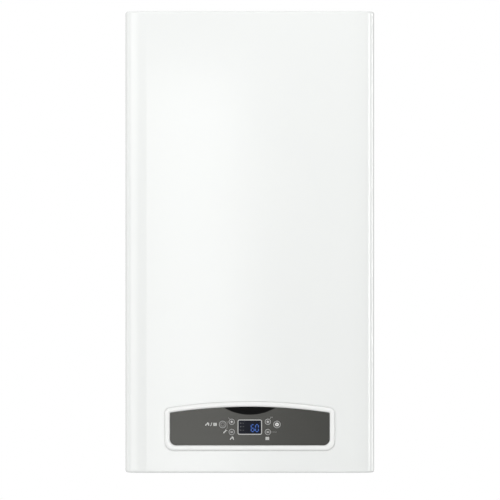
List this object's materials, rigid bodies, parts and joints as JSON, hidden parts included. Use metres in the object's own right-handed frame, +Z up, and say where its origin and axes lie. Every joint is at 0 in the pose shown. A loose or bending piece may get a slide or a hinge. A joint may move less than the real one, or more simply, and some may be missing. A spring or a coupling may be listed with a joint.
{
  "type": "wall-hung gas boiler",
  "caption": "Wall-hung gas combination boiler: white enamelled casing, arched control panel with display and buttons, and the burner, fan, pump and valves inside.",
  "frame": {"origin": "middle of the wall bracket's two screw holes, on the face of the wall", "axes": "+Z up, +Y into the wall, the front of the boiler faces -Y, +X to the viewer's right"},
  "size_m": [0.4, 0.3214, 0.74],
  "materials": {
    "white_enamel": "gloss",
    "white_gloss": "gloss",
    "fascia_grey": "satin",
    "badge_black": "gloss",
    "display_glass": "gloss",
    "button_grey": "satin",
    "zinc_sheet": "galvanised",
    "steel_sheet": "satin",
    "screw_steel": "polished",
    "seal_rubber": "matt",
    "silicone": "satin",
    "clear_glass": "clear",
    "ceramic_fibre": "matt",
    "ceramic": "glazed",
    "copper": "satin",
    "brass": "satin",
    "cast_aluminium": "cast",
    "cast_iron": "painted",
    "motor_black": "satin",
    "vessel_red": "satin",
    "group_plastic": "satin",
    "black_plastic": "satin",
    "housing_grey": "satin",
    "spindle_steel": "polished",
    "knob_red": "gloss",
    "needle_red": "satin",
    "board_green": "satin"
  },
  "bodies": {
    "case": {"left_side_panel": "white_enamel", "right_side_panel": "white_enamel", "back_frame": "zinc_sheet", "wall_bracket": "zinc_sheet", "bottom_tray": "zinc_sheet", "air_chamber": "zinc_sheet", "chamber_door": "zinc_sheet", "flue_collar": "zinc_sheet", "flue_hood": "zinc_sheet", "fan_housing": "zinc_sheet", "combustion_chamber": "steel_sheet", "burner_bars": "steel_sheet", "plate_exchanger": "steel_sheet", "case_screws": "screw_steel", "door_seal": "seal_rubber", "cable_gland": "seal_rubber", "pressure_tube": "silicone", "sight_glass": "clear_glass", "insulation_boards": "ceramic_fibre", "electrodes": "ceramic", "exchanger_fins": "copper", "exchanger_tube": "copper", "heating_pipes": "copper", "vessel_pipe": "copper", "gas_manifold": "brass", "safety_valve": "brass", "air_vent": "brass", "gas_pipes": "brass", "gas_valve": "cast_aluminium", "pump_motor": "cast_aluminium", "pump_body": "cast_iron", "fan_motor": "motor_black", "expansion_vessel": "vessel_red", "flow_group": "group_plastic", "return_group": "group_plastic", "diverter_motor": "black_plastic", "pressure_switch": "black_plastic", "temperature_sensors": "black_plastic", "pressure_gauge": "black_plastic"},
    "cover": {"front_cover": "white_enamel", "cover_screws": "screw_steel"},
    "control": {"control_housing": "housing_grey", "control_lid": "black_plastic", "control_board": "board_green", "bezel": "white_gloss", "fascia": "fascia_grey", "badge": "badge_black", "display_lens": "display_glass"},
    "fan_wheel": {"fan_impeller": "cast_aluminium"},
    "pump_wheel": {"pump_impeller": "group_plastic"},
    "diverter": {"diverter_spindle": "spindle_steel"},
    "needle": {"gauge_needle": "needle_red"},
    "fill_knob": {"filling_knob": "black_plastic"},
    "relief_knob": {"safety_knob": "knob_red"},
    "mode_button": {"mode_button": "button_grey"},
    "heat_up_button": {"heat_up_button": "button_grey"},
    "heat_down_button": {"heat_down_button": "button_grey"},
    "water_up_button": {"water_up_button": "button_grey"},
    "water_down_button": {"water_down_button": "button_grey"},
    "power_button": {"power_button": "button_grey"}
  },
  "joints": [
    {"name": "cover_slide", "type": "slide", "parent": "case", "child": "cover", "axis": [0, -1, 0], "range_m": [0, 0.45]},
    {"name": "control_swing", "type": "hinge", "parent": "case", "child": "control", "pos_m": [0, -0.2912, -0.644], "axis": [1, 0, 0], "range_deg": [0, 90]},
    {"name": "fan_spin", "type": "hinge", "parent": "case", "child": "fan_wheel", "pos_m": [-0.038, -0.15, -0.023], "axis": [0, 1, 0], "continuous": true},
    {"name": "pump_spin", "type": "hinge", "parent": "case", "child": "pump_wheel", "pos_m": [0.12, -0.17, -0.492], "axis": [0, 1, 0], "continuous": true},
    {"name": "diverter_stroke", "type": "slide", "parent": "case", "child": "diverter", "axis": [0, 0, 1], "range_m": [0, 0.01]},
    {"name": "gauge_turn", "type": "hinge", "parent": "case", "child": "needle", "pos_m": [-0.1005, -0.15, -0.671], "axis": [0, 0, 1], "range_deg": [0, 270], "stiffness_Nm_per_rad": 0.00002},
    {"name": "filling_turn", "type": "hinge", "parent": "case", "child": "fill_knob", "pos_m": [0.1005, -0.15, -0.66], "axis": [0, 0, -1], "range_deg": [0, 90]},
    {"name": "relief_turn", "type": "hinge", "parent": "case", "child": "relief_knob", "pos_m": [0.1, -0.215, -0.606], "axis": [0, -1, 0], "range_deg": [0, 90]},
    {"name": "mode_press", "type": "slide", "parent": "control", "child": "mode_button", "axis": [0, 1, 0], "range_m": [0, 0.0009], "stiffness_N_per_m": 200, "springref_m": -0.0005},
    {"name": "heat_up_press", "type": "slide", "parent": "control", "child": "heat_up_button", "axis": [0, 1, 0], "range_m": [0, 0.0009], "stiffness_N_per_m": 200, "springref_m": -0.0005},
    {"name": "heat_down_press", "type": "slide", "parent": "control", "child": "heat_down_button", "axis": [0, 1, 0], "range_m": [0, 0.0009], "stiffness_N_per_m": 200, "springref_m": -0.0005},
    {"name": "water_up_press", "type": "slide", "parent": "control", "child": "water_up_button", "axis": [0, 1, 0], "range_m": [0, 0.0009], "stiffness_N_per_m": 200, "springref_m": -0.0005},
    {"name": "water_down_press", "type": "slide", "parent": "control", "child": "water_down_button", "axis": [0, 1, 0], "range_m": [0, 0.0009], "stiffness_N_per_m": 200, "springref_m": -0.0005},
    {"name": "power_press", "type": "slide", "parent": "control", "child": "power_button", "axis": [0, 1, 0], "range_m": [0, 0.0009], "stiffness_N_per_m": 200, "springref_m": -0.0005}
  ],
  "couplings": [
    {"joint": "control_swing", "follows": "cover_slide", "rad_per_m": 3.49}
  ]
}
